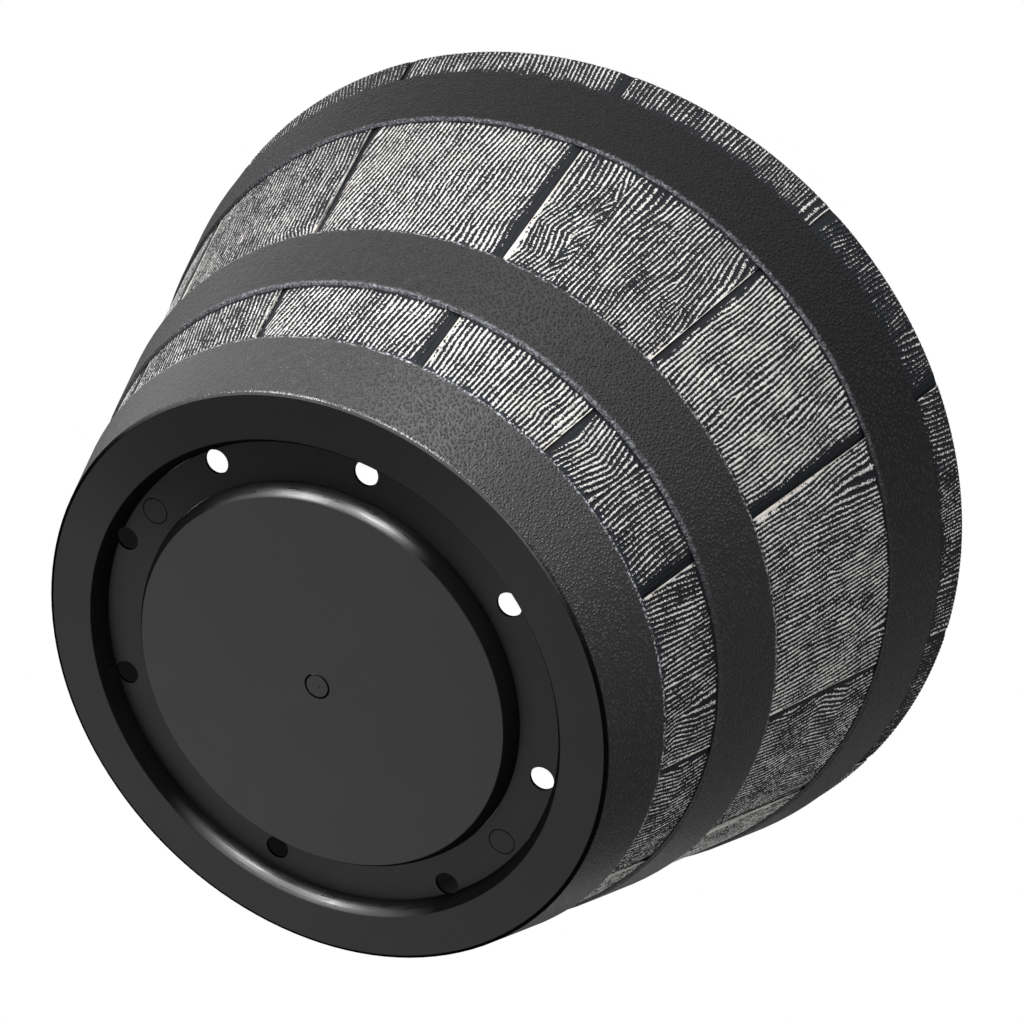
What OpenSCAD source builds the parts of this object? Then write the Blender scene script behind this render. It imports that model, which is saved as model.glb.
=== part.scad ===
// Barrel planter: a round tapered pot dressed as a half barrel.
// Millimetres, +Z up. The origin is the centre of the foot, on the ground.
// Twelve planks stand round a thin inner pot, three hoops go round the planks,
// and a stepped floor in three pieces closes the bottom.

/* [Pot] */
// outer diameter of the rim, across the planks
top_d = 381; // [300:1:560]
// outer diameter of the foot ring
foot_d = 242.6; // [200:0.2:290]
// full height, ground to rim
pot_h = 207; // [200:1:340]
// thickness of the inner pot's wall
liner_t = 2; // [1.6:0.1:4]
// thickness of a plank
stave_t = 4; // [3:0.1:8]
// clearance between pieces that lie one over the other
fit_gap = 0.15; // [0.1:0.01:0.3]

/* [Planks] */
// direction of the first joint, in degrees from +X
first_joint_angle = 210.5; // [0:0.5:360]
// width of the worn slope along the edges of every other plank
worn_w = 5; // [2:0.5:9]
// depth of that slope at the joint
worn_d = 1.2; // [0.4:0.1:2]
// rounding of the planks at the rim
rim_round = 1; // [0.4:0.1:1.8]

/* [Hoops] */
// thickness of a hoop
hoop_t = 1.5; // [1:0.1:3]
// height of the lower hoop's top edge above the ground
lower_hoop_top = 30; // [15:1:45]
// height of the middle hoop's bottom edge
middle_hoop_z = 60; // [50:1:90]
// width of the middle hoop
middle_hoop_w = 31; // [15:0.5:45]
// height of the upper hoop's bottom edge
upper_hoop_z = 160; // [140:1:165]
// width of the upper hoop
upper_hoop_w = 30; // [15:0.5:40]
// rounding of a hoop's outer edges
hoop_round = 0.6; // [0.2:0.1:0.9]

/* [Base] */
// thickness of the floor, foot ring included
floor_t = 2.5; // [2:0.1:4]
// width of the flat foot ring
foot_w = 18.9; // [14:0.1:28]
// height of the drain channel's underside above the ground
recess_h = 7.3; // [4:0.1:15]
// how far the recess's outer wall leans in, from its mouth to the channel
recess_draft = 3.6; // [1:0.1:6]
// width of the drain channel
channel_w = 16.5; // [13:0.1:30]
// thickness of the drain channel's plate
channel_t = 1.3; // [1:0.1:4]
// height of the middle disc above the ground
disc_lift = 0.6; // [0.3:0.1:3]
// how far the disc's wall leans in, from the channel to the disc
disc_draft = 3.6; // [1:0.1:5]
// bulge of the recess's two walls, between their crisp lower edge and the channel
wall_bulge = 0.65; // [0.1:0.05:0.8]
// rounding of the lower hoop's edge on the ground
foot_round = 1.2; // [0.3:0.1:1.4]

/* [Drainage] */
// diameter of a drain hole
drain_d = 10; // [6:0.1:12]
// distance of the drain holes' circle from the channel's outer wall
drain_inset = 5.3; // [5:0.1:8]
// diameter of the round moulding marks
mark_d = 11; // [4:0.5:12]
// width of the moulding marks' fine groove
mark_w = 0.4; // [0.3:0.05:1]
// depth of the moulding marks
mark_deep = 0.25; // [0.1:0.05:0.8]
// width of the groove round the gate
gate_w = 0.9; // [0.3:0.1:1.5]
// diameter of the gate's small dome
gate_d = 2.4; // [1:0.1:4]

/* [Hidden] */
$fn = 96;

// The side is one straight cone. Everything on it is measured from its skin.
side_proud = fit_gap + hoop_t;
skin_r0 = foot_d / 2 - side_proud;
side_slope = (top_d / 2 - skin_r0) / pot_h;
side_tilt = atan(side_slope);
function skin_r(z) = skin_r0 + side_slope * z;
function stave_in(z) = skin_r(z) - stave_t;
function liner_out(z) = stave_in(z) - fit_gap;
function liner_in(z) = liner_out(z) - liner_t;
function hoop_in(z) = skin_r(z) + fit_gap;
function hoop_out(z) = hoop_in(z) + hoop_t;

// Twelve planks of uneven width. In degrees: how far each joint strays from an even split,
// and how far its upper end leans to the right, seen from outside.
stave_count = 12;
joint_stray = [0, 1.8, -1.7, -4.4, -1.5, -5, -4.5, -3.5, -2.5, -1.5, -1, -0.5];
joint_lean = [-1.8, -2, 2.5, -0.4, 1.2, -2.4, 1.2, -0.8, 1.6, -1.4, 0.6, -0.5];
function joint_at(i) = first_joint_angle + i * 360 / stave_count + joint_stray[i % stave_count];

// Drain holes were drilled by hand, so their turn and their circle stray a little.
drain_turn = [16.8, 66, 126.6, 164.5, 201.6, 241.9, 286.3, 331.7];
drain_stray = [1.2, -4.4, 0.5, 2.4, 0.2, 0.2, -0.2, 0.2];
mark_turn = [-5.3, 176.8];

// Radii of the stepped floor.
mouth_r = foot_d / 2 - foot_w;
channel_out = mouth_r - recess_draft;
channel_in = channel_out - channel_w;
channel_top = recess_h + channel_t;
disc_r = channel_in - disc_draft;
disc_top = disc_lift + floor_t;
drain_r = channel_out - drain_inset;
mark_r = channel_out - 0.43 * channel_w;

// Points of an arc about (cx, cz), from angle a to angle b.
function arc(cx, cz, r, a, b, n = 8) =
    [for (i = [0:n]) [cx + r * cos(a + (b - a) * i / n), cz + r * sin(a + (b - a) * i / n)]];

// Points from p to q that bulge out by h to the right of that line.
function bulge(p, q, h, n = 8) = [
    for (i = [0:n])
        let (t = i / n, d = q - p)
            p + t * d + 4 * t * (1 - t) * h * [d[1], -d[0]] / norm(d)
];

module pot_liner() {
    lip = liner_t / 3;
    color([0.10, 0.10, 0.11])
    rotate_extrude()
    polygon([
        [liner_in(floor_t), floor_t],
        [liner_out(floor_t), floor_t],
        [liner_out(pot_h), pot_h],
        [liner_in(pot_h) + lip, pot_h],
        [liner_in(pot_h - lip), pot_h - lip]
    ]);
}

// A plank's section between the foot ring and the rim, rounded over at the rim.
module stave_section() {
    top_r = skin_r(pot_h);
    polygon(concat(
        [[stave_in(floor_t), floor_t], [skin_r(floor_t), floor_t]],
        [[skin_r(pot_h - rim_round), pot_h - rim_round]],
        arc(top_r - rim_round, pot_h - rim_round, rim_round, 20, 90, 4),
        [[stave_in(pot_h), pot_h]]
    ));
}

// The place of a joint: on the skin at half height, x out of the skin, z along the joint.
module at_joint(i) {
    mid_z = pot_h / 2;
    rotate([0, 0, joint_at(i)])
    translate([skin_r(mid_z), 0, mid_z])
    rotate([0, side_tilt, 0])
    rotate([-joint_lean[i % stave_count], 0, 0])
    children();
}

// All that lies past a joint, for side 1, or before it, for side -1.
module joint_side(i, side) {
    at_joint(i)
    translate([-pot_h / 2, side * (pot_h + fit_gap) / 2 - pot_h / 2, -pot_h])
    cube([pot_h, pot_h, 2 * pot_h]);
}

// The worn slope at a plank's edge, for its first joint with side 1 and its last with side -1.
module worn_edge(i, side) {
    slope = atan(worn_d / worn_w);
    at_joint(i)
    translate([-worn_d, 0, 0])
    rotate([0, 0, -side * slope])
    translate([0, -pot_h, -pot_h])
    cube([pot_h, 2 * pot_h, 2 * pot_h]);
}

// Every other plank has worn edges, so its neighbours stand proud of it at the joints.
module stave(i) {
    spare = 6;
    color([0.19, 0.20, 0.23])
    difference() {
        intersection() {
            rotate([0, 0, joint_at(i) - spare])
            rotate_extrude(angle = joint_at(i + 1) - joint_at(i) + 2 * spare)
            stave_section();
            joint_side(i, 1);
            joint_side(i + 1, -1);
        }
        if (i % 2 == 0) {
            worn_edge(i, 1);
            worn_edge(i + 1, -1);
        }
    }
}

module stave_01() { stave(0); }
module stave_02() { stave(1); }
module stave_03() { stave(2); }
module stave_04() { stave(3); }
module stave_05() { stave(4); }
module stave_06() { stave(5); }
module stave_07() { stave(6); }
module stave_08() { stave(7); }
module stave_09() { stave(8); }
module stave_10() { stave(9); }
module stave_11() { stave(10); }
module stave_12() { stave(11); }

// A hoop between two heights, lying on the planks, with its outer edges rounded.
module hoop(z0, z1, low_r = hoop_round) {
    a = side_tilt;
    r = hoop_round;
    color([0.16, 0.16, 0.16])
    rotate_extrude()
    polygon(concat(
        [[hoop_in(z0), z0]],
        arc(hoop_out(z0) - low_r, z0 + low_r, low_r, -90, -a / 2, low_r > r ? 6 : 3),
        arc(hoop_out(z1) - r, z1 - r, r, 0, 90, 3),
        [[hoop_in(z1), z1]]
    ));
}

module lower_hoop() { hoop(0, lower_hoop_top, foot_round); }
module middle_hoop() { hoop(middle_hoop_z, middle_hoop_z + middle_hoop_w); }
module upper_hoop() { hoop(upper_hoop_z, upper_hoop_z + upper_hoop_w); }

// All the drain holes, long enough to pass through every piece of the floor.
module drain_holes() {
    for (i = [0:len(drain_turn) - 1])
        rotate([0, 0, drain_turn[i]])
        translate([drain_r + drain_stray[i], 0, -floor_t])
        cylinder(d = drain_d, h = channel_top + 2 * floor_t);
}

// A fine round groove in a face that looks down at height z.
module mould_mark(z, w = mark_w, deep = mark_deep) {
    translate([0, 0, z - floor_t])
    difference() {
        cylinder(d = mark_d, h = floor_t + deep);
        translate([0, 0, -floor_t])
        cylinder(d = mark_d - 2 * w, h = 3 * floor_t);
    }
}

// The flat ring that the pot stands on, with the recess's outer wall.
// The holes that were drilled too far out bite into that wall.
module foot_ring() {
    color([0.14, 0.14, 0.14])
    difference() {
        rotate_extrude()
        polygon(concat(
            [[channel_out, channel_top]],
            bulge([channel_out, recess_h], [mouth_r, 0], wall_bulge),
            [[skin_r(0), 0], [skin_r(floor_t), floor_t]],
            [[mouth_r + floor_t, floor_t], [channel_out + floor_t, channel_top]]
        ));
        drain_holes();
    }
}

// The raised ring between the foot ring and the disc, with the drain holes.
module drain_channel() {
    color([0.13, 0.13, 0.13])
    difference() {
        rotate_extrude()
        polygon([
            [channel_in + fit_gap, recess_h],
            [channel_out - fit_gap, recess_h],
            [channel_out - fit_gap, channel_top],
            [channel_in + fit_gap, channel_top]
        ]);
        drain_holes();
        for (a = mark_turn)
            rotate([0, 0, a])
            translate([mark_r, 0, 0])
            mould_mark(recess_h);
    }
}

// The middle disc, with its own wall up to the channel and the gate mark.
module base_disc() {
    color([0.17, 0.17, 0.17])
    union() {
        difference() {
            rotate_extrude()
            polygon(concat(
                [[0, disc_lift]],
                bulge([disc_r, disc_lift], [channel_in, recess_h], wall_bulge),
                [[channel_in, channel_top], [channel_in - floor_t, channel_top]],
                [[disc_r - floor_t, disc_top], [0, disc_top]]
            ));
            mould_mark(disc_lift, gate_w, 0.6 * gate_w);
        }
        translate([0, 0, disc_lift - mark_deep])
        cylinder(d1 = gate_d * 0.6, d2 = gate_d, h = 2 * mark_deep);
    }
}

pot_liner();
stave_01();
stave_02();
stave_03();
stave_04();
stave_05();
stave_06();
stave_07();
stave_08();
stave_09();
stave_10();
stave_11();
stave_12();
lower_hoop();
middle_hoop();
upper_hoop();
foot_ring();
drain_channel();
base_disc();
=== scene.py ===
import math
import bpy
import numpy as np
from mathutils import Euler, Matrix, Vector


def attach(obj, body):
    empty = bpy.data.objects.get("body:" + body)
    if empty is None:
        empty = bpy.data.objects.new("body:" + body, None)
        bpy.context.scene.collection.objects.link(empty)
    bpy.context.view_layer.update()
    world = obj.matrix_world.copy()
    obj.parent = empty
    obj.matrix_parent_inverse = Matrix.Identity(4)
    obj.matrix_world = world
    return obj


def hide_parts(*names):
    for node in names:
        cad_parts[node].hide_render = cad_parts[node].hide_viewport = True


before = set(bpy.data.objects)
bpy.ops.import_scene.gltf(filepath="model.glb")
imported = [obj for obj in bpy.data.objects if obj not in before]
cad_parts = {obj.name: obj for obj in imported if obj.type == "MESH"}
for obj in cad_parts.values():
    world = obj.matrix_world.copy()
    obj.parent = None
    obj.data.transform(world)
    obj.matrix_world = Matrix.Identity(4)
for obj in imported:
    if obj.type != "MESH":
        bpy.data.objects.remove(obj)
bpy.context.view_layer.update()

MM = 0.001

# The tapered side, in millimetres as the part has it.
RIM_D = 381.0
FOOT_D = 242.6
POT_H = 207.0
PLANK_T = 4.0
FIT_GAP = 0.15
HOOP_T = 1.5
FLOOR_T = 2.5
RECESS_H = 7.3
DISC_LIFT = 0.6
RIM_ROUND = 1.0
SKIN_R0 = FOOT_D / 2 - FIT_GAP - HOOP_T
SLOPE = (RIM_D / 2 - SKIN_R0) / POT_H
TILT = math.atan(SLOPE)
MID_Z = POT_H / 2
MID_R = SKIN_R0 + SLOPE * MID_Z

# Joints between the twelve planks: direction at half height, and how far the upper end leans.
JOINT_ANGLE = [210.5, 242.3, 268.8, 296.1, 329.0, 355.5, 386.0, 417.0, 448.0, 479.0, 509.5, 540.0, 570.5]
JOINT_LEAN = [-1.8, -2.0, 2.5, -0.4, 1.2, -2.4, 1.2, -0.8, 1.6, -1.4, 0.6, -0.5, -1.8]

# Heights between which the planks show: below the middle hoop, between the hoops, and at the rim.
BANDS = [(30.0, 60.0), (91.0, 160.0), (190.0, 207.0)]
# How far above each band's lower edge the painted grain is full, and how far below its upper edge.
FADE_LOW = [3.2, 2.6, 5.5]
FADE_TOP = [0.7, 0.7, 0.0]

# The mesh of a plank's face, and its ridges: pitch and depth in mm.
BAND_SPARE = 1.0
ROW_STEP = 0.8
PITCH = 2.0
COLUMNS_PER_RIDGE = 5.4
RIDGE_DEPTH = 0.34
# The tables of the grain count in steps of this angle round the pot.
GRAIN_STEP = math.radians(0.63)
SETTLE_ROUNDS = 140

# Every other joint is worn: how wide and deep the plank's edge is rounded off there, and, at a
# plank's left and right edge, how wide the bare strip is and how far the paint is frayed beyond it.
WORN_W = 5.0
WORN_D = 1.2
WORN_STRIP = (2.0, 3.0)
FRAYED_W = (1.8, 4.6)

# How much less paint lies behind the hoops, on a bare strip and on its frayed border, and how much
# more on a proud edge.
LESS_BEHIND = 1.8
LESS_ON_STRIP = 2.2
LESS_FRAYED = 1.15
MORE_ON_EDGE = 2.0
# The same round the rim and down the inside, corner by corner.
PAINT_OVER_RIM = [-0.3, -0.9, -2, -3, -4, -4]

# Sides of the pot: a direction in degrees, and the angles from it at which an effect has ended and
# up to which it is full.
PROUD_PEBBLES = (230, 80, 36)
# Paint on the lips, full on the lit side: painted light over real paint.
PAINT_AND_LIGHT_ON_LIPS = (242, 66, 34)
GLOSSY_HOOPS = (235, 98, 40)
RUBBED_FOOT = (240, 66, 30)
DULL_FLOOR = (220, 63, 0)
DULL_INSIDE = (98, 88, 52)
POLISHED_SPAN = (39, 15)

# Light: the level of the world on the object, the floor's own light, and the lamps in watts.
AMBIENT = 0.27
FLOOR_GLOW = 0.40
KEY_POWER = 0.50
FRONT_POWER = 0.62
RIGHT_POWER = 0.9
SHEEN_POWER = 0.25
LOW_POWER = 0.20
TOP_POWER = 5.0
BACK_POWER = 5.0
RIM_POWER = 0.16


def deselect():
    if bpy.context.object and bpy.context.object.mode != "OBJECT":
        bpy.ops.object.mode_set(mode="OBJECT")
    bpy.ops.object.select_all(action="DESELECT")


def pick(obj, verts=None, edges=None, faces=None):
    """Goes into edit mode with only the given vertices, edges or faces of a piece selected."""
    deselect()
    bpy.context.view_layer.objects.active = obj
    obj.select_set(True)
    mesh = obj.data
    mesh.vertices.foreach_set("select", np.zeros(len(mesh.vertices), dtype=bool))
    mesh.edges.foreach_set("select", np.zeros(len(mesh.edges), dtype=bool))
    mesh.polygons.foreach_set("select", np.zeros(len(mesh.polygons), dtype=bool))
    mode = "VERT"
    if verts is not None:
        mesh.vertices.foreach_set("select", verts)
    if edges is not None:
        mesh.edges.foreach_set("select", edges)
        mode = "EDGE"
    if faces is not None:
        mesh.polygons.foreach_set("select", faces)
        mode = "FACE"
    bpy.ops.object.mode_set(mode="EDIT")
    bpy.ops.mesh.select_mode(type=mode)


# The grain of a plank. Each line of the table is one line down the plank: its place across the
# plank, from 0 at the left joint to 1 at the right one, and by how many ridges the grain is
# pushed to the right there at given heights.
GRAIN = {
    "fan": [
        (0.00, [(30, -1), (59, 1), (92, -2), (159, 2), (190, 0), (207, 0)]),
        (0.08, [(30, -3), (59, 3), (92, -4.9), (159, 4.9), (190, 0), (207, 0.5)]),
        (0.25, [(30, -3), (59, 3), (92, -3.2), (159, 3.2), (190, 0.6), (207, -0.6)]),
        (0.44, [(30, -1.6), (59, 1.6), (92, -1.8), (159, 1.8), (190, 0), (207, 0)]),
        (0.64, [(30, -0.6), (59, 0.6), (92, -2.3), (159, 2.3), (190, 0.3), (207, -0.3)]),
        (0.80, [(30, -2), (59, 2), (92, -0.9), (159, 0.9), (190, 0.3), (207, -0.3)]),
        (1.00, [(30, 0), (59, 0), (92, -0.2), (159, 0.2), (190, 0.3), (207, -0.3)]),
    ],
    "chevrons": [
        (0.00, [(30, 0), (59, 0), (92.6, -1.0), (101.4, 0), (116.5, -1.4), (127.7, 0), (159, -0.5)]),
        (0.12, [(30, 0), (59, 0), (92.6, -1.4), (101.4, 0), (116.5, -1.9), (127.7, 0), (159, -0.5)]),
        (0.25, [(30, 0), (59, 0), (92.6, -0.9), (101.4, 0), (116.5, -1.5), (127.7, 0), (159, 0.2)]),
        (0.262, [(30, 0), (59, 0), (92, -6), (118, 0), (142, 6), (159, 3)]),
        (0.295, [(30, 0), (59, 0), (92, -6), (118, 0), (142, 6), (159, 3)]),
        (0.305, [(30, 0), (59, 0), (92, 0), (159, 0.2)]),
        (0.39, [(30, 0), (59, 0), (92, 0), (159, 0.4)]),
        (0.56, [(30, 0), (59, 0), (92, 0.8), (106, 0), (131, 0), (150, 1.6), (159, 1.8)]),
        (0.68, [(30, 0), (59, 0), (92, 0), (159, -0.3)]),
        (0.80, [(30, 0), (38, 0.8), (44, 0), (52, 0.6), (59, -0.4), (92, 0), (128, 0), (159, -1.8)]),
        (0.91, [(30, 0), (59, 0), (92, 0), (125, -1.5), (159, -4.8)]),
        (1.00, [(30, 0), (59, 0), (92, 0), (159, -1.6)]),
    ],
    "knots": [
        (0.00, [(30, -1), (59, -0.5), (92, 0.5), (116, 0), (136, 1), (159, 0.6), (190, 0), (207, 0)]),
        (0.06, [(30, -1.6), (45, 0.3), (59, -1.2), (92, 0.8), (101, 0.8), (116, 0), (136, 1.9), (159, 1.2)]),
        (0.17, [(30, -2.2), (46.4, 0), (59, -1.5), (92, 0.6), (110, 0), (159, 0), (190, -0.9), (207, 0.9)]),
        (0.33, [(30, -2.6), (46.4, 0), (59, -1.8), (92, 1), (112, 0), (159, -0.2)]),
        (0.42, [(30, 1.0), (46, 0), (59, 0.8), (92, 0.8), (130, 0), (159, -0.5)]),
        (0.56, [(30, 0.4), (59, -0.4), (92, 1.2), (113, 1), (131, 0), (159, -1)]),
        (0.67, [(30, 0), (59, 0), (92, 1.5), (116, 1.5), (120, 1.2), (159, -1.8)]),
        (0.83, [(30, 0.9), (59, -0.9), (92, 0.6), (110, 1), (131, 0), (159, -1.5), (190, -0.8), (207, 0.8)]),
        (0.94, [(30, 0.4), (59, -0.4), (92, 1.5), (112, 1.5), (159, -2)]),
        (1.00, [(30, 0), (59, 0), (92, 0.8), (112, 0.8), (159, -1)]),
    ],
    "wavy": [
        (0.00, [(30, -1), (59, 1), (92, 0), (128, 0), (159, -1), (190, 0), (207, 0)]),
        (0.075, [(30, -2.4), (59, 2.4), (92, 0), (128, 0), (159, -2.2), (190, -0.8), (207, 0.8)]),
        (0.19, [(30, -1.6), (59, 1.6), (92, 0), (134, 0.2), (159, 2.2), (190, -0.8), (207, 0.8)]),
        (0.30, [(30, -0.6), (59, 0.6), (92, 0.5), (128, 0), (159, 1.6)]),
        (0.43, [(30, 0), (59, 0), (92, 0), (125, 0), (131, 0.6), (159, 0.2)]),
        (0.55, [(30, 0.3), (59, -0.3), (92, 0), (122, 0), (159, -2)]),
        (0.67, [(30, 1.6), (42, 0), (59, -1.2), (92, 0), (133, 0), (159, -2.4)]),
        (0.76, [(30, 1.8), (37.3, 0), (48, 1.8), (59, 2.2), (92, 0.8), (136, 0), (159, -2.6)]),
        (0.85, [(30, 1.8), (37.3, 0), (48, 1.8), (59, 2.2), (92, 1.8), (136, 0), (150, -0.5), (159, -0.2)]),
        (0.955, [(30, 1.2), (37.3, 0), (48, 1.2), (59, 1.4), (92, 1), (110, 1.6), (131, 0), (159, -1.5)]),
        (1.00, [(30, 0), (59, 0), (92, 0.4), (110, 0.8), (131, 0), (159, -0.6), (190, -0.4), (207, 0.4)]),
    ],
    "waves": [
        (0.00, [(30, -0.6), (45, 0.6), (59, -0.4), (92, 0), (108, 1), (128, -0.9), (143, 1.2), (159, 0)]),
        (0.30, [(30, -1.0), (45, 0.8), (59, -0.6), (92, 0), (106, 1.2), (125, -1.0), (141, 1.3), (159, 0)]),
        (0.65, [(30, -0.5), (45, 0.9), (59, -0.2), (92, 0), (110, 0.9), (130, -0.8), (146, 1.1), (159, 0)]),
        (1.00, [(30, -0.3), (45, 0.4), (59, -0.2), (92, 0), (108, 0.6), (128, -0.5), (143, 0.7), (159, 0)]),
    ],
    "slant": [
        (0.00, [(30, 1), (59, -0.5), (92, 0.6), (159, -0.6), (190, 0.6), (207, -0.6)]),
        (0.35, [(30, 2), (59, -1), (92, 1), (159, -1), (190, 1.2), (207, -1.2)]),
        (0.65, [(30, 2), (59, -1), (92, 1.4), (99, 0.6), (159, -1), (190, 1.2), (207, -1.2)]),
        (0.85, [(30, 2), (59, -1), (92, 2.6), (99, 0), (159, -1.2), (190, 1.2), (207, -1.2)]),
        (1.00, [(30, 1), (59, -0.5), (92, 1.2), (99, 0), (159, -0.6), (190, 0.6), (207, -0.6)]),
    ],
}

# Lines where the grain breaks off: place across the plank at given heights.
FAULTS = {"chevrons": [[(92, 0.262), (118, 0.232), (142, 0.262)], [(92, 0.30), (118, 0.28), (142, 0.30)]]}

# Places where one ridge splits in two: place across the plank, height, and 1 where there is one
# more ridge below than above, or -1 for the other way.
FORKS = {
    "fan": [(0.15, 40, 1), (0.17, 36, 1), (0.55, 124, 1), (0.57, 120, -1), (0.44, 112, 1), (0.78, 103, -1)],
    "chevrons": [(0.81, 127, 1), (0.83, 129, 1), (0.86, 124, 1), (0.90, 118, 1)],
    "knots": [(0.42, 112, 1), (0.44, 103, -1), (0.67, 128, 1), (0.62, 140, -1)],
    "wavy": [(0.66, 45, 1), (0.64, 52, -1), (0.43, 128, -1), (0.30, 120, 1), (0.80, 141, 1)],
    "waves": [(0.25, 117, 1), (0.70, 135, -1)],
    "slant": [(0.80, 100, 1), (0.40, 140, -1), (0.20, 118, 1)],
}

# Each plank: its grain, whether the grain is mirrored, the seed of its small wander, and how
# much more paint than the others it took in each of the three bands. These loads are partly painted
# light and shade: the rim's lower loads darken it where the light falls off towards the rim.
PLANKS = [
    ("stave_01", "fan", False, 11, (0.42, 0.45, 0.15)),
    ("stave_02", "chevrons", False, 12, (0.50, 0.16, -0.05)),
    ("stave_03", "knots", False, 13, (0.15, 0.47, -0.35)),
    ("stave_04", "wavy", False, 14, (0.08, 0.27, -0.20)),
    ("stave_05", "waves", False, 15, (0.05, 0.05, -0.45)),
    ("stave_06", "fan", True, 16, (0.15, 0.15, -0.15)),
    ("stave_07", "slant", True, 17, (0.25, 0.25, -0.05)),
    ("stave_08", "chevrons", True, 18, (0.00, 0.00, -0.30)),
    ("stave_09", "wavy", True, 19, (0.30, 0.30, 0.00)),
    ("stave_10", "knots", True, 20, (0.15, 0.15, -0.15)),
    ("stave_11", "waves", True, 21, (0.25, 0.25, -0.05)),
    ("stave_12", "slant", False, 22, (0.15, 0.15, -0.15)),
]

# Each hoop: its lower and upper edge, its skin (the size of the pebbles in mm, their stretch, the
# plastic's grey and the pebbles'), the height of the pebbles in mm, its gloss on the glossy side
# and elsewhere, how wide its lip is painted, and how much paint dots its upper edge. The hoops are
# one plastic: its grey and the pebbles' step down from the lower hoop to the upper, as painted light
# and shade for the light that falls off up the side.
PEBBLE_STRETCH = (1.1, 0.95, 1)
HOOPS = [
    ("lower_hoop", "Lower hoop plastic", 0.0, 30.0, (1.6, PEBBLE_STRETCH, 0.027, 0.070), 0.30,
     (0.66, 0.13), -3.0, 0.9),
    ("middle_hoop", "Middle hoop plastic", 60.0, 91.0, (1.6, PEBBLE_STRETCH, 0.023, 0.055), 0.40,
     (0.32, 0.30), 1.5, 0.65),
    ("upper_hoop", "Upper hoop plastic", 160.0, 190.0, (1.6, PEBBLE_STRETCH, 0.017, 0.040), 0.38,
     (0.10, 0.30), 1.2, 0.0),
]

# Widths of the painted edge of a proud plank over height, at its left and right joint.
EDGE_Z = [30, 59, 92, 96, 104, 118, 135, 159, 190, 207]
EDGE_LEFT = [0.9, 0.7, 1.6, 3.0, 2.4, 1.3, 0.8, 0.5, 0.6, 0.6]
EDGE_RIGHT = [0.5, 0.4, 1.3, 1.0, 0.5, 0.2, 0.15, 0.15, 0.3, 0.3]


def joint_turn(i, side, r, z):
    """Direction, in radians, of the plank's side face at joint i, at radius r and height z."""
    lean = math.radians(JOINT_LEAN[i])
    nx = -math.sin(lean) * math.sin(TILT)
    ny = math.cos(lean)
    nz = -math.sin(lean) * math.cos(TILT)
    reach = side * FIT_GAP / 2 + nx * MID_R - nz * (z - MID_Z)
    span = r * math.hypot(nx, ny)
    return math.radians(JOINT_ANGLE[i]) + math.atan2(ny, nx) - np.arccos(reach / span)


def plank_rows():
    """Heights up the plank's outer face: fine where the plank shows, coarse behind the hoops."""
    rows = [FLOOR_T, 16.0]
    for low, high in BANDS:
        start = low - BAND_SPARE
        end = min(high + BAND_SPARE, POT_H - RIM_ROUND)
        count = int(round((end - start) / ROW_STEP))
        rows += list(np.linspace(start, end, count + 1))
        if end + 20 < POT_H:
            rows.append(end + 12)
    return rows


def wander(rng, a, z, size, waves):
    """A slow random push of the grain, in ridges."""
    total = np.zeros_like(z)
    for _ in range(waves):
        across = rng.uniform(0.5, 4.0)
        along = rng.uniform(0.03, 0.2)
        turn = rng.uniform(0, 2 * math.pi)
        sign = rng.choice([-1, 1])
        total += np.sin(2 * math.pi * across * a + sign * along * z + turn)
    return size * total / math.sqrt(waves)


def grain_push(kind, a, z):
    """How far the grain is pushed to the right, in ridges, and how fast that changes with height."""
    lines = GRAIN[kind]
    places = np.array([line[0] for line in lines])
    pushed = np.zeros_like(z)
    lean = np.zeros_like(z)
    for k in range(z.shape[0]):
        values = []
        for height in (z[k, 0] - 0.5, z[k, 0], z[k, 0] + 0.5):
            values.append([np.interp(height, *zip(*line[1])) for line in lines])
        pushed[k] = np.interp(a[k], places, values[1])
        lean[k] = np.interp(a[k], places, np.array(values[2]) - np.array(values[0]))
    return pushed, lean


def settle(arrow, step_across, step_up, patch):
    """Lets the ridges settle to one even pitch, so that they fork and end as moulded grain does."""
    on_across = np.exp(2j * math.pi * step_across)
    on_up = np.exp(2j * math.pi * step_up)
    on_across[:, :-1] *= patch[:, 1:] == patch[:, :-1]
    on_up[:-1] *= patch[1:] == patch[:-1]
    for _ in range(SETTLE_ROUNDS):
        total = 0.8 * arrow
        total[:, 1:] += arrow[:, :-1] * on_across[:, :-1]
        total[:, :-1] += arrow[:, 1:] * np.conj(on_across[:, :-1])
        total[1:] += 0.5 * arrow[:-1] * on_up[:-1]
        total[:-1] += 0.5 * arrow[1:] * np.conj(on_up[:-1])
        arrow = total / np.maximum(np.abs(total), 1e-9)
    return arrow


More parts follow.
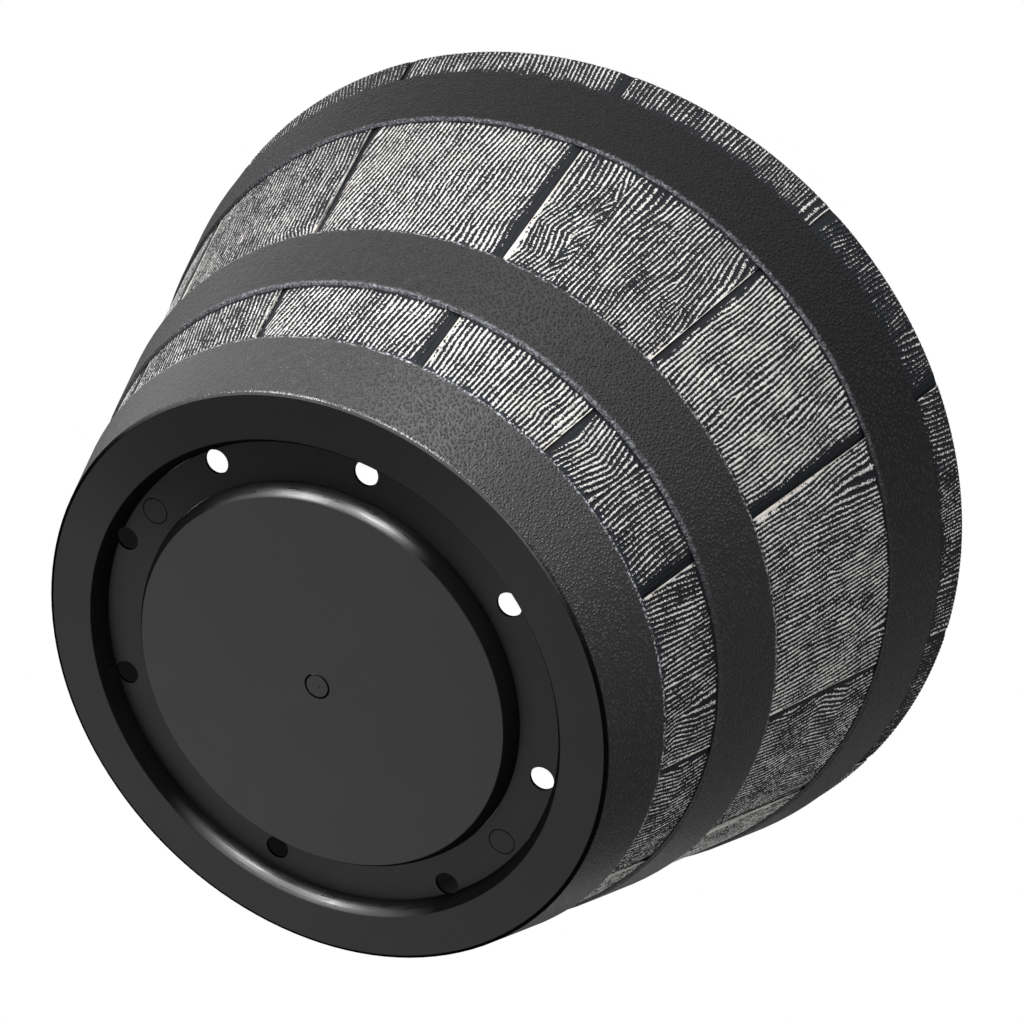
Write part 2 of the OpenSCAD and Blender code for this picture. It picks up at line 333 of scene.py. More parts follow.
def grain_arrow(kind, mirrored, seed, a, z, width):
    """The ridges as a turning arrow, which points along +x on a ridge's top."""
    rng = np.random.default_rng(seed)
    along = 1 - a if mirrored else a
    side = -1 if mirrored else 1
    push, lean = grain_push(kind, along, z)
    drift = wander(rng, a, z, 0.35, 14)
    steps = GRAIN_STEP * (SKIN_R0 + SLOPE * z)
    push = side * push + drift
    lean = side * lean
    lean[1:-1] += (drift[2:] - drift[:-2]) / np.maximum(z[2:] - z[:-2], 1e-6)
    arrow = np.ones_like(z, dtype=complex)
    slant = lean * steps * math.cos(TILT)
    even = 1 / np.sqrt(1 + slant * slant)
    for low, high in BANDS:
        rows = np.where((z[:, 0] > low - 2) & (z[:, 0] < high + 2))[0]
        part = slice(rows[0], rows[-1] + 1)
        middle = (rows[0] + rows[-1]) // 2
        ridges = width[middle, 0] / PITCH
        phase = a[part] * ridges - push[part] * steps[middle, 0] / PITCH
        for place, height, more in FORKS[kind]:
            dx = (along[part] - place) * ridges * PITCH * side
            dz = z[part] - height
            phase += side * more * np.arctan2(dz / 4.0, dx / 1.5) / (2 * math.pi)
        rise = np.diff(z[part], axis=0, append=z[rows[-1]:rows[-1] + 1] + ROW_STEP) / math.cos(TILT)
        step_across = width[part] / PITCH / (a.shape[1] - 1) * even[part]
        step_up = -slant[part] * even[part] / PITCH * rise
        patch = np.zeros(phase.shape, dtype=int)
        for line in FAULTS.get(kind, []):
            heights, places = [p[0] for p in line], [p[1] for p in line]
            past = along[part] > np.interp(z[part], heights, places)
            patch += past & (z[part] > heights[0]) & (z[part] < heights[-1])
        arrow[part] = settle(np.exp(2j * math.pi * phase), step_across, step_up, patch)
    return arrow


def smooth_step(x):
    x = np.clip(x, 0, 1)
    return x * x * (3 - 2 * x)


def plank_section(heights):
    """Radius and height down a plank's outline: the outer face, round the rim and down the inside."""
    section = [(SKIN_R0 + SLOPE * z, z) for z in heights]
    top_r = SKIN_R0 + SLOPE * POT_H
    for turn in (37.5, 55.0, 72.5, 90.0):
        c = math.cos(math.radians(turn))
        s = math.sin(math.radians(turn))
        section.append((top_r - RIM_ROUND + RIM_ROUND * c, POT_H - RIM_ROUND + RIM_ROUND * s))
    section.append((top_r - PLANK_T, POT_H))
    section.append((SKIN_R0 + SLOPE * FLOOR_T - PLANK_T, FLOOR_T))
    return section


def edge_places(mesh, cols):
    """The rows and the columns of both ends of each edge of a plank's sheet."""
    pairs = np.zeros(len(mesh.edges) * 2, dtype=np.int64)
    mesh.edges.foreach_get("vertices", pairs)
    pairs = pairs.reshape(-1, 2)
    return pairs // cols, pairs % cols


def close_plank(plank, rows, cols):
    """Closes the sheet at the bottom edge and at the two sides, and turns its faces outwards."""
    mesh = plank.data
    index = np.arange(rows * cols).reshape(rows, cols)
    row_of, _ = edge_places(mesh, cols)
    end_rows = (row_of[:, 0] == row_of[:, 1]) & np.isin(row_of[:, 0], [0, rows - 1])
    pick(plank, edges=end_rows)
    bpy.ops.mesh.bridge_edge_loops()
    for column in (0, cols - 1):
        bpy.ops.object.mode_set(mode="OBJECT")
        on_side = np.zeros(len(mesh.vertices), dtype=bool)
        on_side[index[:, column]] = True
        pick(plank, verts=on_side)
        bpy.ops.mesh.edge_face_add()
    bpy.ops.mesh.select_all(action="SELECT")
    bpy.ops.mesh.normals_make_consistent(inside=False)
    bpy.ops.object.mode_set(mode="OBJECT")


def shade_plank(plank, rows, cols):
    """Soft shading over the ridges, crisp at the joints, the inside edge and the bottom."""
    mesh = plank.data
    mesh.polygons.foreach_set("use_smooth", np.ones(len(mesh.polygons), dtype=bool))
    row_of, col_of = edge_places(mesh, cols)
    crisp = (row_of[:, 0] == row_of[:, 1]) & np.isin(row_of[:, 0], [0, rows - 2, rows - 1])
    crisp |= (col_of[:, 0] == col_of[:, 1]) & np.isin(col_of[:, 0], [0, cols - 1])
    pick(plank, edges=crisp)
    bpy.ops.mesh.mark_sharp()
    deselect()


def unroll_plank(mesh, heights, rows, cols):
    """Fills the plank's own map with its unrolled outer face, so the ridges keep their detail there.

    The bottom edge and the two sides lie in narrow strips under it."""
    outer = len(heights)
    up = np.zeros(rows)
    for k in range(1, outer):
        middle = (heights[k] + heights[k - 1]) / 2
        seen = any(low - 1.2 < middle < high + 1.2 for low, high in BANDS)
        up[k] = up[k - 1] + (heights[k] - heights[k - 1]) * (1.0 if seen else 0.06)
    up[outer:] = up[outer - 1] + np.array([0.3, 0.6, 0.9, 1.2, 3.0, 6.0])
    up /= up[-1]
    sheet_map = mesh.uv_layers[0] if mesh.uv_layers else mesh.uv_layers.new()
    sheet_map.name = "OFBake"
    corner = np.zeros(len(mesh.loops), dtype=np.int64)
    mesh.loops.foreach_get("vertex_index", corner)
    u = 0.01 + 0.98 * (corner % cols) / (cols - 1)
    v = 0.03 + 0.96 * up[corner // cols]
    start = np.zeros(len(mesh.polygons), dtype=np.int64)
    total = np.zeros(len(mesh.polygons), dtype=np.int64)
    mesh.polygons.foreach_get("loop_start", start)
    mesh.polygons.foreach_get("loop_total", total)
    for f in np.where(total > 4)[0]:
        loops = np.arange(start[f], start[f] + total[f])
        on_rows = corner[loops] // cols
        v[loops] = 0.005 + 0.008 * (on_rows % 2)
        u[loops] = 0.01 + 0.98 * on_rows / rows
    quads = start[total == 4][:, None] + np.arange(4)
    on_rows = corner[quads] // cols
    under = (on_rows.min(axis=1) == 0) & (on_rows.max(axis=1) == rows - 1)
    v[quads[under]] = 0.016 + 0.008 * (on_rows[under] > 0)
    sheet_map.data.foreach_set("uv", np.stack([u, v], axis=-1).reshape(-1).astype(np.float32))


def make_plank(i, name, kind, mirrored, seed, plank_paint_and_light):
    """One plank: a sheet bent round the side, over the rim and down the inside, then closed."""
    heights = plank_rows()
    outer = len(heights)
    section = plank_section(heights)
    rows = len(section)
    span = math.radians(JOINT_ANGLE[i + 1] - JOINT_ANGLE[i])
    cols = int(round(span * (SKIN_R0 + SLOPE * 140) / PITCH * COLUMNS_PER_RIDGE)) + 1

    deselect()
    bpy.ops.mesh.primitive_grid_add(x_subdivisions=cols - 1, y_subdivisions=rows - 1, size=1)
    plank = bpy.context.object
    plank.name = name + "_wood"
    plank.data.name = plank.name
    mesh = plank.data

    r = np.repeat(np.array([p[0] for p in section])[:, None], cols, axis=1)
    z = np.repeat(np.array([p[1] for p in section])[:, None], cols, axis=1)
    a = np.repeat(np.linspace(0, 1, cols)[None, :], rows, axis=0)

    width = (joint_turn(i + 1, -1, r, z) - joint_turn(i, 1, r, z)) * r
    arrow = grain_arrow(kind, mirrored, seed, a, z, width)
    wave = arrow.real
    from_left = a * width
    from_right = (1 - a) * width
    nearest = np.minimum(from_left, from_right)
    uneven = 0.5 * np.sin(0.31 * z + seed) + 0.35 * np.sin(0.83 * z + 2 * seed) + 0.3 * np.sin(2.1 * z)
    strip = np.where(from_left < from_right, *WORN_STRIP) + 0.8 * uneven
    frayed = np.where(from_left < from_right, *FRAYED_W)
    worn = i % 2 == 0

    # How strongly the ridges stand here: they fade behind the hoops and in the worn edges.
    shown = np.zeros_like(z)
    ends = np.random.default_rng(seed + 100).uniform(-1, 1, cols)[None, :]
    ends = ends + np.sin(2 * math.pi * a * 7 + seed)
    for (low, high), fade_low, fade_top in zip(BANDS, FADE_LOW, FADE_TOP):
        top = smooth_step((high - 0.4 - z + 0.3 * ends) / fade_top) if fade_top else 1.0
        shown = np.maximum(shown, smooth_step((z - low - 0.7 * ends) / fade_low) * top)
    strength = shown.copy()
    if worn:
        strength *= smooth_step((nearest - strip + 0.8) / 2.0)
    else:
        ragged = 1 + 0.3 * np.sin(0.9 * z + seed) + 0.25 * np.sin(2.3 * z + 2 * seed)
        left_w = np.interp(z, EDGE_Z, EDGE_LEFT) * ragged
        right_w = np.interp(z, EDGE_Z, EDGE_RIGHT) * ragged
        edge = np.maximum(smooth_step(1.4 - from_left / left_w), smooth_step(1.4 - from_right / right_w))
        strength *= 1 - 0.7 * edge

    depth = np.where(z < POT_H - 0.01, RIDGE_DEPTH * (0.5 - 0.5 * wave) * strength, 0)
    if worn:
        slope = np.clip(1 - nearest / WORN_W, 0, 1) * WORN_D
        depth = np.maximum(depth, slope + 0.6 * depth)
    outside = np.zeros_like(z)
    outside[:outer + 2] = 1
    outside[outer:outer + 2] *= 0.6
    depth *= outside
    depth[0] = np.clip(1 - nearest[0] / WORN_W, 0, 1) * WORN_D if worn else 0
    depth[rows - 4:] = 0
    r = r - depth * math.cos(TILT)
    z_out = z + depth * math.sin(TILT)

    turn = (1 - a) * joint_turn(i, 1, r, z_out) + a * joint_turn(i + 1, -1, r, z_out)
    place = np.stack([r * np.cos(turn), r * np.sin(turn), z_out], axis=-1) * MM
    mesh.vertices.foreach_set("co", place.reshape(-1).astype(np.float32))
    mesh.update()

    # What the wood finish reads: the ridge as a turning arrow, and how much paint lies here. The plank's
    # load in it is partly painted light and shade.
    paint_and_light_here = np.where(z < BANDS[0][1] + 2, plank_paint_and_light[0], np.where(z < BANDS[1][1] + 2, plank_paint_and_light[1], plank_paint_and_light[2]))
    bias = paint_and_light_here - LESS_BEHIND * (1 - shown)
    if worn:
        bias -= LESS_ON_STRIP * (1 - smooth_step((nearest - strip + 0.7) / 1.4))
        bias -= LESS_FRAYED * (1 - smooth_step((nearest - strip) / frayed))
    else:
        bias += MORE_ON_EDGE * edge * shown
    bias[outer:] = np.array(PAINT_OVER_RIM)[:, None]
    marks = mesh.attributes.new("grain", "FLOAT_VECTOR", "POINT")
    told = np.stack([wave, arrow.imag, bias], axis=-1)
    marks.data.foreach_set("vector", told.reshape(-1).astype(np.float32))

    close_plank(plank, rows, cols)
    shade_plank(plank, rows, cols)
    unroll_plank(mesh, heights, rows, cols)
    return plank


def new_material(name):
    """A fresh principled finish. Returns the material, a node maker and a linker."""
    mat = bpy.data.materials.new(name)
    mat.use_nodes = True
    tree = mat.node_tree
    shader = tree.nodes["Principled BSDF"]

    def add(kind, **settings):
        node = tree.nodes.new("ShaderNode" + kind)
        for key, value in settings.items():
            setattr(node, key, value)
        return node

    def join(source, target):
        tree.links.new(source, target)

    return mat, shader, add, join


def math_node(add, join, what, first, second=None, third=None):
    node = add("Math", operation=what)
    for k, value in enumerate((first, second, third)):
        if value is None:
            continue
        if isinstance(value, (int, float)):
            node.inputs[k].default_value = value
        else:
            join(value, node.inputs[k])
    return node.outputs[0]


def ramp(add, join, value, low, high, out_low=0.0, out_high=1.0, smooth=True):
    node = add("MapRange", interpolation_type="SMOOTHSTEP" if smooth else "LINEAR")
    node.inputs["From Min"].default_value = low
    node.inputs["From Max"].default_value = high
    node.inputs["To Min"].default_value = out_low
    node.inputs["To Max"].default_value = out_high
    join(value, node.inputs["Value"])
    return node.outputs["Result"]


def stretched(add, join, stretch):
    """Object coordinates, stretched."""
    mapping = add("Mapping", vector_type="POINT")
    mapping.inputs["Scale"].default_value = stretch
    join(add("TexCoord").outputs["Object"], mapping.inputs["Vector"])
    return mapping.outputs["Vector"]


def parts_of(add, join, vector):
    """The X, Y and Z of a vector."""
    split = add("SeparateXYZ")
    join(vector, split.inputs[0])
    return split.outputs


def unrolled(add, join):
    """The side unrolled flat: distance round the pot at one radius, and distance up the slope."""
    here = parts_of(add, join, add("TexCoord").outputs["Object"])
    turn = math_node(add, join, "ARCTAN2", here["Y"], here["X"])
    flat = add("CombineXYZ")
    join(math_node(add, join, "MULTIPLY", turn, MID_R * MM), flat.inputs["X"])
    join(math_node(add, join, "MULTIPLY", here["Z"], 1 / math.cos(TILT)), flat.inputs["Y"])
    return flat.outputs[0], here["Z"]


def turned(add, join, where, angle, scale):
    """Turns flat coordinates and then divides them, so that a texture lies at an angle."""
    mapping = add("Mapping", vector_type="TEXTURE")
    mapping.inputs["Rotation"].default_value = (0, 0, math.radians(angle))
    mapping.inputs["Scale"].default_value = scale
    join(where, mapping.inputs["Vector"])
    return mapping.outputs["Vector"]


def noise(add, join, where, scale, detail=2.0, rough=0.5):
    node = add("TexNoise", noise_dimensions="3D")
    node.inputs["Scale"].default_value = scale
    node.inputs["Detail"].default_value = detail
    node.inputs["Roughness"].default_value = rough
    join(where, node.inputs["Vector"])
    return node.outputs["Fac"]


def noise_colour(add, join, where, scale):
    node = add("TexNoise", noise_dimensions="3D")
    node.inputs["Scale"].default_value = scale
    node.inputs["Detail"].default_value = 1.0
    join(where, node.inputs["Vector"])
    return node.outputs["Color"]


def mix_colour(add, join, amount, first, second):
    node = add("Mix", data_type="RGBA")
    colour_in = [s for s in node.inputs if s.type == "RGBA"]
    colour_out = [s for s in node.outputs if s.type == "RGBA"][0]
    for slot_in, value in ((node.inputs[0], amount), (colour_in[0], first), (colour_in[1], second)):
        if isinstance(value, (int, float)):
            slot_in.default_value = value
        elif isinstance(value, tuple):
            slot_in.default_value = (*value, 1)
        else:
            join(value, slot_in)
    return colour_out


def mix_value(add, join, amount, first, second):
    node = add("Mix", data_type="FLOAT")
    join(amount, node.inputs["Factor"])
    join(first, node.inputs["A"])
    join(second, node.inputs["B"])
    return node.outputs["Result"]


def raise_by(add, join, shader, height, strength, distance):
    """Fine relief, by a height and the distance in metres that it stands for."""
    bump = add("Bump")
    bump.inputs["Strength"].default_value = strength
    bump.inputs["Distance"].default_value = distance
    join(height, bump.inputs["Height"])
    join(bump.outputs["Normal"], shader.inputs["Normal"])


def painted_wood():
    """Dark moulded wood grain with pale paint dry-brushed over the tops of the ridges."""
    mat, shader, add, join = new_material("Painted wood grain")
    arrow = parts_of(add, join, add("Attribute", attribute_name="grain").outputs["Vector"])
    here = stretched(add, join, (1, 1, 1))
    side, height = unrolled(add, join)

    # Paint lies on the ridges' tops: thinner or thicker by patch, by ridge, and in small steps.
    patch = noise(add, join, here, 85, 3, 0.55)
    ridge = noise(add, join, turned(add, join, side, 0, (1, 9, 1)), 420, 1, 0.5)
    steps = noise(add, join, turned(add, join, side, 0, (1, 0.3, 1)), 420, 1, 0.5)
    fine = noise(add, join, here, 1300, 1, 0.6)
    ticks = ramp(add, join, noise(add, join, turned(add, join, side, 0, (1, 0.22, 1)), 520, 0), 0.76, 0.82)

    wobble = math_node(add, join, "MULTIPLY_ADD", noise(add, join, here, 420, 1), 2.2, -1.1)
    turn = math_node(add, join, "ARCTAN2", arrow["Y"], arrow["X"])
    crest = math_node(add, join, "COSINE", math_node(add, join, "ADD", turn, wobble))
    level = math_node(add, join, "ADD", crest, arrow["Z"])
    for part, amount in ((patch, 1.5), (ridge, 1.3), (steps, 1.5), (fine, 3.4)):
        change = math_node(add, join, "MULTIPLY_ADD", part, amount, -amount / 2)
        level = math_node(add, join, "ADD", level, change)
    level = math_node(add, join, "MULTIPLY_ADD", ticks, 1.2, level)
    paint = ramp(add, join, level, 0.64, 0.98)

    thin = ramp(add, join, noise(add, join, here, 260, 2), 0.3, 0.7, 0.0, 1.0)
    paint_colour = mix_colour(add, join, thin, (0.66, 0.65, 0.63), (0.88, 0.87, 0.84))
    thick = ramp(add, join, arrow["Z"], 1.0, 1.8, 0.0, 0.8)
    paint_colour = mix_colour(add, join, thick, paint_colour, (0.92, 0.85, 0.78))
    dark_colour = mix_colour(add, join, patch, (0.011, 0.012, 0.0145), (0.020, 0.0215, 0.026))
    # Bluer and lighter in the dark of the grain just above the lower hoop.
    bluer_above_lower_hoop = ramp(add, join, height, 0.036, 0.030, 0.0, 0.35)
    dark_colour = mix_colour(add, join, bluer_above_lower_hoop, dark_colour, (0.045, 0.055, 0.080))
    join(mix_colour(add, join, paint, dark_colour, paint_colour), shader.inputs["Base Color"])
    join(ramp(add, join, paint, 0, 1, 0.5, 0.8), shader.inputs["Roughness"])
    shader.inputs["Specular IOR Level"].default_value = 0.15
    raise_by(add, join, shader, level, 0.6, 0.0001)
    return mat


def pebbled(add, join, here, side, pip, slant, grey, bright):
    """The pebbles of the moulded skin. Returns its colour, its height and its roughness."""
    cells = add("TexVoronoi", feature="F1", voronoi_dimensions="2D")
    cells.inputs["Scale"].default_value = 1 / (pip * MM)
    cells.inputs["Randomness"].default_value = 0.9
    uneven = add("VectorMath", operation="MULTIPLY_ADD")
    join(noise_colour(add, join, here, 450), uneven.inputs[0])
    uneven.inputs[1].default_value = (0.001, 0.001, 0)
    join(side, uneven.inputs[2])
    join(turned(add, join, uneven.outputs[0], -52, slant), cells.inputs["Vector"])
    pips = ramp(add, join, cells.outputs["Distance"], 0.42, 0.08)
    soft = noise(add, join, here, 260, 2, 0.5)
    grit = noise(add, join, here, 1300, 2, 0.6)
    rise = math_node(add, join, "MULTIPLY", pips, ramp(add, join, soft, 0.3, 0.65, 0.35, 1.0))
    rise = math_node(add, join, "MULTIPLY_ADD", soft, 0.5, rise)
    rise = math_node(add, join, "MULTIPLY_ADD", grit, 0.22, rise)
    tone = mix_colour(add, join, grit, (0.65 * grey,) * 3, (1.3 * grey,) * 3)
    rubbed = math_node(add, join, "MULTIPLY", pips, ramp(add, join, soft, 0.35, 0.65, 0.1, 0.9))
    tone = mix_colour(add, join, rubbed, tone, (bright,) * 3)
    return tone, rise, ramp(add, join, grit, 0.3, 0.7, 0.32, 0.46)


def round_pot(add, join, middle, away, near, far_value, near_value):
    """A value that changes round the pot: one within an angle of a direction, another far from it."""
    towards = add("VectorMath", operation="DOT_PRODUCT")
    unit = add("VectorMath", operation="NORMALIZE")
    join(stretched(add, join, (1, 1, 0)), unit.inputs[0])
    join(unit.outputs[0], towards.inputs[0])
    towards.inputs[1].default_value = (math.cos(math.radians(middle)), math.sin(math.radians(middle)), 0)
    low = math.cos(math.radians(away))
    high = math.cos(math.radians(near))
    return ramp(add, join, towards.outputs["Value"], low, high, far_value, near_value)


def pebbled_hoop(name, low_edge, top_edge, skin, relief, gloss, lip, dotted):
    """Moulded plastic of a hoop. Its pebbles took a little paint, its lower lip more. The lip's paint is
    strongest on the lit side, as painted light.
    """
    mat, shader, add, join = new_material(name)
    here = stretched(add, join, (1, 1, 1))
    side, height = unrolled(add, join)
    tone, rise, rough = pebbled(add, join, here, side, *skin)
    rise = math_node(add, join, "MULTIPLY", rise, round_pot(add, join, *PROUD_PEBBLES, 0.5, 2.0))

    # A haze of paint on the lip with a broken white line in it, and dots along the top edge. The haze and
    # line fade away from the lit side, so on the lip they are partly painted light.
    ragged = noise(add, join, here, 620, 2, 0.7)
    loose = noise(add, join, here, 1000, 1, 0.5)
    from_axis = add("VectorMath", operation="LENGTH")
    join(stretched(add, join, (1, 1, 0)), from_axis.inputs[0])
    corner = add("CombineXYZ")
    lip_r = (SKIN_R0 + SLOPE * low_edge + FIT_GAP + 0.4 * HOOP_T) * MM
    join(math_node(add, join, "SUBTRACT", from_axis.outputs["Value"], lip_r), corner.inputs["X"])
    join(math_node(add, join, "SUBTRACT", height, low_edge * MM), corner.inputs["Y"])
    away = add("VectorMath", operation="LENGTH")
    join(corner.outputs[0], away.inputs[0])
    away = math_node(add, join, "MULTIPLY_ADD", ragged, 0.0036, away.outputs["Value"])
    haze = ramp(add, join, away, (lip + 2.3) * MM, (lip + 1.0) * MM, 0.0, 0.30)
    haze = math_node(add, join, "MULTIPLY", haze, ramp(add, join, loose, 0.3, 0.65, 0.35, 1.0))
    line = ramp(add, join, away, (lip + 1.4) * MM, (lip + 0.8) * MM, 0.0, 0.6)
    line = math_node(add, join, "MULTIPLY", line, ramp(add, join, loose, 0.48, 0.60))
    lip_paint_and_light = math_node(add, join, "MAXIMUM", haze, line)
    # Painted light: the lip's haze and line are full only on the lit side.
    lit_lip_side = round_pot(add, join, *PAINT_AND_LIGHT_ON_LIPS, 0.1, 1.0)
    lip_paint_and_light = math_node(add, join, "MULTIPLY", lip_paint_and_light, lit_lip_side)
    top_at = top_edge * MM
    top_paint = ramp(add, join, height, top_at - 0.0018, top_at - 0.0009, 0.0, dotted)
    top_paint = math_node(add, join, "MULTIPLY", ramp(add, join, loose, 0.50, 0.60), top_paint)
    paint = math_node(add, join, "MAXIMUM", lip_paint_and_light, top_paint)
    colour = mix_colour(add, join, paint, tone, (0.60, 0.61, 0.68))

    # One side is glossier. There the edge on the ground is rubbed smooth; elsewhere the edge is painted near
    # black, as painted shade in the seam against the foot ring.
    shine = round_pot(add, join, *GLOSSY_HOOPS, gloss[1], gloss[0])
    if low_edge == 0:
        edge = ramp(add, join, height, 0.0013, 0.0006)
        rubbed = math_node(add, join, "MULTIPLY", edge, round_pot(add, join, *RUBBED_FOOT, 0.0, 1.0))
        painted_seam_shade = math_node(add, join, "SUBTRACT", edge, rubbed)
        # Painted shade: the edge away from the lit side is painted near black.
        colour = mix_colour(add, join, painted_seam_shade, colour, (0.004, 0.004, 0.004))
        rough = math_node(add, join, "MULTIPLY_ADD", rubbed, -0.14, rough)
        shine = math_node(add, join, "MAXIMUM", shine, rubbed)
        shine = math_node(add, join, "SUBTRACT", shine, painted_seam_shade)
        flat = ramp(add, join, edge, 0, 1, 1.0, 0.15, smooth=False)
        rise = math_node(add, join, "MULTIPLY", rise, flat)
    join(colour, shader.inputs["Base Color"])
    join(rough, shader.inputs["Roughness"])
    join(shine, shader.inputs["Specular IOR Level"])
    raise_by(add, join, shader, rise, 1.0, relief * MM)
    return mat


def satin_pot(name, base, rough, gloss, face_z=None, polished=None, dull=0.0, dull_side=DULL_FLOOR,
              satin_rim=None):
    """Black moulded plastic, duller by the part given on one side of the pot.

    The walls above the flat face at face_z came smooth from the mould in the direction polished.
    Without that direction they are dull cuts with no gloss, painted near black as painted shade in
    the holes. Between the heights of satin_rim the full gloss comes back on the dull side."""
    mat, shader, add, join = new_material(name)
    here = stretched(add, join, (1, 1, 1))
    cloud = noise(add, join, here, 40, 3, 0.6)
    grain = noise(add, join, here, 1800, 1, 0.5)
    speck = ramp(add, join, noise(add, join, here, 1300, 0), 0.80, 0.86, 0.0, 0.6)
    tone = mix_colour(add, join, cloud, (0.8 * base,) * 3, (1.2 * base,) * 3)
    tone = mix_colour(add, join, speck, tone, (base + 0.03,) * 3)
    satin = ramp(add, join, cloud, 0.3, 0.7, rough - 0.02, rough + 0.02)
    shine = round_pot(add, join, *dull_side, gloss, gloss * (1 - dull))
    relief = grain
    at = parts_of(add, join, here)
    if satin_rim is not None:
        rim = ramp(add, join, at["Z"], satin_rim[0] * MM, satin_rim[1] * MM, 0.0, gloss)
        shine = math_node(add, join, "MAXIMUM", shine, rim)
    if face_z is not None:
        edge = 0.15 if polished else 0.02
        wall = ramp(add, join, at["Z"], (face_z + edge) * MM, (face_z + 3 * edge) * MM)
        facing = parts_of(add, join, add("NewGeometry").outputs["Normal"])
        wall = math_node(add, join, "MULTIPLY", wall, ramp(add, join, facing["Z"], 0.4, 0.7, 1.0, 0.0))
        if polished is None:
            # Painted shade: cut walls without gloss are painted near black, as the dark inside the holes.
            tone = mix_colour(add, join, wall, tone, (0.002, 0.002, 0.002))
            wall_shine = 0.0
        else:
            turn = math_node(add, join, "ARCTAN2", at["Y"], at["X"])
            drawn = add("CombineXYZ")
            join(math_node(add, join, "MULTIPLY", turn, 9.0), drawn.inputs["X"])
            join(math_node(add, join, "MULTIPLY", at["Z"], 700), drawn.inputs["Y"])
            streaks = noise(add, join, drawn.outputs[0], 1.0, 3, 0.6)
            glossy = ramp(add, join, streaks, 0.3, 0.7, 0.24, 0.42, smooth=False)
            relief = mix_value(add, join, wall, grain, streaks)
            satin = mix_value(add, join, wall, satin, glossy)
            window = round_pot(add, join, polished, *POLISHED_SPAN, 0.0, 1.0)
            wall_shine = math_node(add, join, "MULTIPLY", wall, window)
        face = math_node(add, join, "SUBTRACT", 1.0, wall)
        shine = math_node(add, join, "MULTIPLY_ADD", shine, face, wall_shine)
    join(tone, shader.inputs["Base Color"])
    join(satin, shader.inputs["Roughness"])
    join(shine, shader.inputs["Specular IOR Level"])
    raise_by(add, join, shader, relief, 0.35, 0.00004)
    return mat


def finish_node(node, mat):
    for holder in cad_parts[node].material_slots:
        holder.material = mat


def soft_box(name, place, aim, size, power, beam=180):
    """A square lamp at a place, shining at a point, with its beam narrowed to an angle."""
    data = bpy.data.lights.new(name, "AREA")
    data.shape = "SQUARE"
    data.size = size
    data.energy = power
    data.spread = math.radians(beam)
    lamp = bpy.data.objects.new(name, data)
    bpy.context.scene.collection.objects.link(lamp)
    lamp.visible_camera = False
    lamp.location = Vector(place)
    lamp.rotation_euler = (Vector(place) - Vector(aim)).to_track_quat("Z", "Y").to_euler()
    return lamp


def studio_card(name, place, width, height, grey=0.02):
    """A card that faces the object from a place. Only the object's gloss sees it."""
    deselect()
    facing = Vector(place).to_track_quat("Z", "Y").to_euler()
    bpy.ops.mesh.primitive_plane_add(size=1, location=place, rotation=facing)
    card = bpy.context.object
    card.name = name
    card.scale = (width, height, 1)
    bpy.ops.object.transform_apply(location=True, rotation=True, scale=True)
    card.visible_camera = False
    card.visible_diffuse = False
    card.visible_transmission = False
    card.visible_shadow = False
    mat, shader, _, _ = new_material("Dark card")
    shader.inputs["Base Color"].default_value = (grey, grey, grey, 1)
    shader.inputs["Roughness"].default_value = 1.0
    card.data.materials.append(mat)


def pale_floor():
    """A pale matt floor with a light of its own. From below it is clear, as on a glass table."""
    mat, shader, add, join = new_material("Pale floor")
    shader.inputs["Base Color"].default_value = (0.85, 0.85, 0.85, 1)
    shader.inputs["Roughness"].default_value = 0.9
    shader.inputs["Specular IOR Level"].default_value = 0.0
    glow = add("Emission")
    glow.inputs["Strength"].default_value = FLOOR_GLOW
    both = add("AddShader")
    join(shader.outputs[0], both.inputs[0])
    join(glow.outputs[0], both.inputs[1])
    choose = add("MixShader")
    join(add("NewGeometry").outputs["Backfacing"], choose.inputs[0])
    join(both.outputs[0], choose.inputs[1])
    join(add("BsdfTransparent").outputs[0], choose.inputs[2])
    join(choose.outputs[0], mat.node_tree.nodes["Material Output"].inputs["Surface"])
    return mat


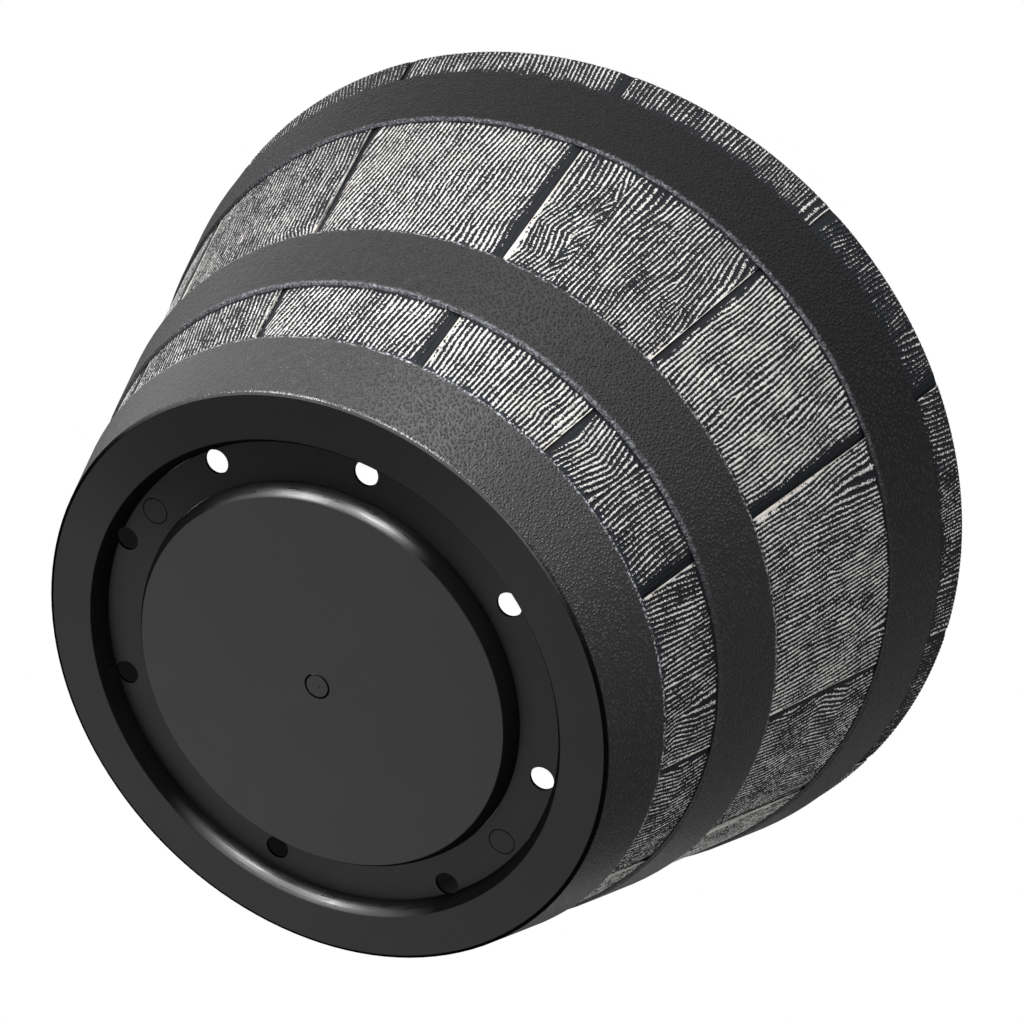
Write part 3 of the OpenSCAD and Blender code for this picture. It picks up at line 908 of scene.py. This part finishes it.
def studio():
    """Pale floor, white background and soft lamps."""
    scene = bpy.context.scene
    scene.view_settings.view_transform = "Standard"

    world = bpy.data.worlds.new("Studio")
    scene.world = world
    world.use_nodes = True
    tree = world.node_tree
    air = tree.nodes["Background"]
    air.inputs["Color"].default_value = (1, 1, 1, 1)
    path = tree.nodes.new("ShaderNodeLightPath")
    seen = tree.nodes.new("ShaderNodeMath")
    seen.operation = "MAXIMUM"
    tree.links.new(path.outputs["Is Camera Ray"], seen.inputs[0])
    tree.links.new(path.outputs["Is Transmission Ray"], seen.inputs[1])
    glossy = tree.nodes.new("ShaderNodeMath")
    glossy.operation = "MAXIMUM"
    tree.links.new(seen.outputs[0], glossy.inputs[0])
    tree.links.new(path.outputs["Is Glossy Ray"], glossy.inputs[1])
    level = tree.nodes.new("ShaderNodeMapRange")
    level.inputs["To Min"].default_value = AMBIENT
    level.inputs["To Max"].default_value = 1.0
    tree.links.new(glossy.outputs[0], level.inputs["Value"])
    tree.links.new(level.outputs["Result"], air.inputs["Strength"])

    deselect()
    bpy.ops.mesh.primitive_plane_add(size=12, location=(0, 0, -0.0005))
    floor = bpy.context.object
    floor.name = "studio_floor"
    floor.visible_diffuse = False
    floor.visible_glossy = False
    floor.visible_shadow = False
    floor.data.materials.append(pale_floor())

    studio_card("studio_right_card", (0.95, -0.25, 0.6), 2.2, 1.6, 0.5)
    studio_card("studio_low_card", (0.80, -0.55, -0.60), 2.2, 1.5)
    studio_card("studio_back_card", (0.0, 0.95, 1.04), 1.7, 1.7)
    studio_card("studio_edge_card", (1.05, 0.25, -0.25), 1.0, 1.3)
    soft_box("key_lamp", (-0.587, -0.239, -0.135), (-0.06, -0.07, 0.02), 0.14, KEY_POWER, 100)
    soft_box("front_lamp", (-0.349, -0.524, -0.135), (-0.04, -0.09, 0.02), 0.18, FRONT_POWER, 100)
    right = soft_box("right_lamp", (0.50, -0.60, 0.0), (0.06, -0.05, 0.08), 0.5, RIGHT_POWER)
    right.visible_glossy = False
    soft_box("sheen_lamp", (-0.24, -0.44, 0.12), (-0.05, -0.11, 0.01), 0.22, SHEEN_POWER)
    soft_box("low_lamp", (-0.02, 0.72, -0.56), (0, 0, 0), 0.35, LOW_POWER)
    soft_box("top_lamp", (0.25, 0.15, 1.5), (0, 0, 0.1), 0.9, TOP_POWER)
    back = soft_box("back_lamp", (-0.45, 1.1, 0.9), (0, 0, 0.1), 0.8, BACK_POWER)
    back.visible_glossy = False
    rim = soft_box("rim_lamp", (0.42, -0.22, 0.34), (0.10, -0.05, 0.17), 0.3, RIM_POWER)
    rim.visible_glossy = False


def photo_camera():
    """Looks at the pot's underside from below, at the photograph's angle."""
    data = bpy.data.cameras.new("photo_camera")
    camera = bpy.data.objects.new("photo_camera", data)
    bpy.context.scene.collection.objects.link(camera)
    camera.location = (0.0, -0.67199, -0.73317)
    camera.rotation_euler = Euler([math.radians(d) for d in (152.86508, -25.78316, -40.55381)], "XYZ")
    data.lens = 91.40625
    data.sensor_width = 36.0
    data.clip_start = 0.01
    bpy.context.scene.camera = camera


photo_camera()
studio()

wood = painted_wood()
for i, (node, kind, mirrored, seed, plank_paint_and_light) in enumerate(PLANKS):
    plank = make_plank(i, node, kind, mirrored, seed, plank_paint_and_light)
    plank.data.materials.clear()
    plank.data.materials.append(wood)
    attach(plank, "root")
    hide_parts(node)

for node, *hoop in HOOPS:
    finish_node(node, pebbled_hoop(*hoop))

inside = satin_pot("Inner pot plastic", 0.032, 0.40, 0.50, dull=1.0, dull_side=DULL_INSIDE,
                   satin_rim=(150, 200))
foot = satin_pot("Foot ring plastic", 0.007, 0.45, 0.27, face_z=0.0, polished=58, dull=0.5)
channel = satin_pot("Drain channel plastic", 0.006, 0.45, 0.26, face_z=RECESS_H, dull=0.6)
disc = satin_pot("Base disc plastic", 0.009, 0.45, 0.39, face_z=DISC_LIFT, polished=230)
finish_node("pot_liner", inside)
finish_node("foot_ring", foot)
finish_node("drain_channel", channel)
finish_node("base_disc", disc)
